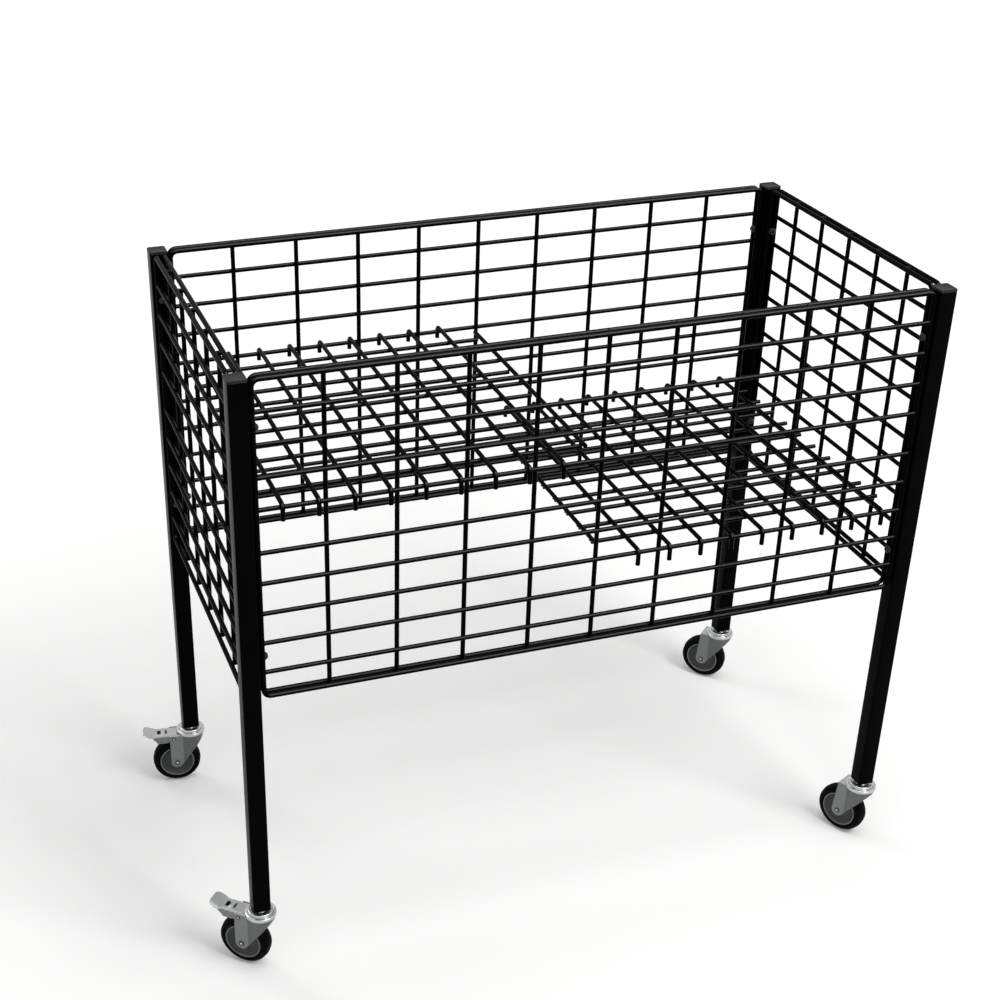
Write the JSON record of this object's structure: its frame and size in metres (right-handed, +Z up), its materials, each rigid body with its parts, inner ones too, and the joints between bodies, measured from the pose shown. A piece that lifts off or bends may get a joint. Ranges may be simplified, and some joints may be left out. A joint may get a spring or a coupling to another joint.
{
  "type": "retail dump bin",
  "caption": "Mobile wire dump bin: square tube posts on swivel castors, screwed wire grid panels and two hook-on wire shelf halves set at different heights.",
  "frame": {"origin": "on the floor, under the middle of the whole bin as it stands, castors and pedals included", "axes": "+X along the bin from the braked left end to the right end, +Y from front to back, +Z up"},
  "size_m": [1.1431, 0.5836, 0.9768],
  "materials": {
    "black_powder_coat": "satin",
    "cap_plastic": "matte",
    "black_screw": "satin",
    "zinc_plate": "bright",
    "socket_steel": "satin",
    "tyre_rubber": "matte",
    "wheel_plastic": "matte"
  },
  "bodies": {
    "frame": {"post_front_left": "black_powder_coat", "post_cap_front_left": "cap_plastic", "castor_socket_front_left": "socket_steel", "castor_stem_front_left": "zinc_plate", "post_front_right": "black_powder_coat", "post_cap_front_right": "cap_plastic", "castor_socket_front_right": "socket_steel", "castor_stem_front_right": "zinc_plate", "post_back_left": "black_powder_coat", "post_cap_back_left": "cap_plastic", "castor_socket_back_left": "socket_steel", "castor_stem_back_left": "zinc_plate", "post_back_right": "black_powder_coat", "post_cap_back_right": "cap_plastic", "castor_socket_back_right": "socket_steel", "castor_stem_back_right": "zinc_plate", "panel_front": "black_powder_coat", "screw_front_left_low": "black_screw", "screw_front_left_high": "black_screw", "screw_front_right_low": "black_screw", "screw_front_right_high": "black_screw", "panel_right": "black_powder_coat", "screw_right_front_low": "black_screw", "screw_right_front_high": "black_screw", "screw_right_back_low": "black_screw", "screw_right_back_high": "black_screw", "panel_back": "black_powder_coat", "screw_back_right_low": "black_screw", "screw_back_right_high": "black_screw", "screw_back_left_low": "black_screw", "screw_back_left_high": "black_screw", "panel_left": "black_powder_coat", "screw_left_back_low": "black_screw", "screw_left_back_high": "black_screw", "screw_left_front_low": "black_screw", "screw_left_front_high": "black_screw"},
    "swivel_front_left": {"castor_fork_front_left": "zinc_plate", "castor_axle_front_left": "zinc_plate", "brake_pin_front_left": "zinc_plate"},
    "wheel_front_left": {"tyre_front_left": "tyre_rubber", "wheel_centre_front_left": "wheel_plastic"},
    "pedal_front_left": {"brake_pedal_front_left": "zinc_plate"},
    "swivel_front_right": {"castor_fork_front_right": "zinc_plate", "castor_axle_front_right": "zinc_plate"},
    "wheel_front_right": {"tyre_front_right": "tyre_rubber", "wheel_centre_front_right": "wheel_plastic"},
    "swivel_back_left": {"castor_fork_back_left": "zinc_plate", "castor_axle_back_left": "zinc_plate", "brake_pin_back_left": "zinc_plate"},
    "wheel_back_left": {"tyre_back_left": "tyre_rubber", "wheel_centre_back_left": "wheel_plastic"},
    "pedal_back_left": {"brake_pedal_back_left": "zinc_plate"},
    "swivel_back_right": {"castor_fork_back_right": "zinc_plate", "castor_axle_back_right": "zinc_plate"},
    "wheel_back_right": {"tyre_back_right": "tyre_rubber", "wheel_centre_back_right": "wheel_plastic"},
    "shelf_left": {"shelf_left": "black_powder_coat"},
    "shelf_right": {"shelf_right": "black_powder_coat"}
  },
  "joints": [
    {"name": "swivel_turn_front_left", "type": "hinge", "parent": "frame", "child": "swivel_front_left", "pos_m": [-0.48699, -0.26538, 0.11158], "axis": [0, 0, 1], "continuous": true},
    {"name": "wheel_roll_front_left", "type": "hinge", "parent": "swivel_front_left", "child": "wheel_front_left", "pos_m": [-0.50737, -0.24767, 0.04148], "axis": [-0.6561, -0.7547, 0], "continuous": true},
    {"name": "brake_press_front_left", "type": "hinge", "parent": "swivel_front_left", "child": "pedal_front_left", "pos_m": [-0.51001, -0.24537, 0.09148], "axis": [-0.6561, -0.7547, 0], "range_deg": [0, 14]},
    {"name": "swivel_turn_front_right", "type": "hinge", "parent": "frame", "child": "swivel_front_right", "pos_m": [0.54401, -0.26538, 0.11158], "axis": [0, 0, 1], "continuous": true},
    {"name": "wheel_roll_front_right", "type": "hinge", "parent": "swivel_front_right", "child": "wheel_front_right", "pos_m": [0.53217, -0.24112, 0.04148], "axis": [-0.8988, -0.4384, 0], "continuous": true},
    {"name": "swivel_turn_back_left", "type": "hinge", "parent": "frame", "child": "swivel_back_left", "pos_m": [-0.48699, 0.23762, 0.11158], "axis": [0, 0, 1], "continuous": true},
    {"name": "wheel_roll_back_left", "type": "hinge", "parent": "swivel_back_left", "child": "wheel_back_left", "pos_m": [-0.51373, 0.24137, 0.04148], "axis": [-0.1392, -0.9903, 0], "continuous": true},
    {"name": "brake_press_back_left", "type": "hinge", "parent": "swivel_back_left", "child": "pedal_back_left", "pos_m": [-0.51719, 0.24186, 0.09148], "axis": [-0.1392, -0.9903, 0], "range_deg": [0, 14]},
    {"name": "swivel_turn_back_right", "type": "hinge", "parent": "frame", "child": "swivel_back_right", "pos_m": [0.54401, 0.23762, 0.11158], "axis": [0, 0, 1], "continuous": true},
    {"name": "wheel_roll_back_right", "type": "hinge", "parent": "swivel_back_right", "child": "wheel_back_right", "pos_m": [0.52594, 0.25768, 0.04148], "axis": [-0.7431, -0.6691, 0], "continuous": true},
    {"name": "shelf_lift_left", "type": "slide", "parent": "frame", "child": "shelf_left", "axis": [0, 0, 1], "range_m": [0, 0.03]},
    {"name": "shelf_lift_right", "type": "slide", "parent": "frame", "child": "shelf_right", "axis": [0, 0, 1], "range_m": [0, 0.03]}
  ]
}
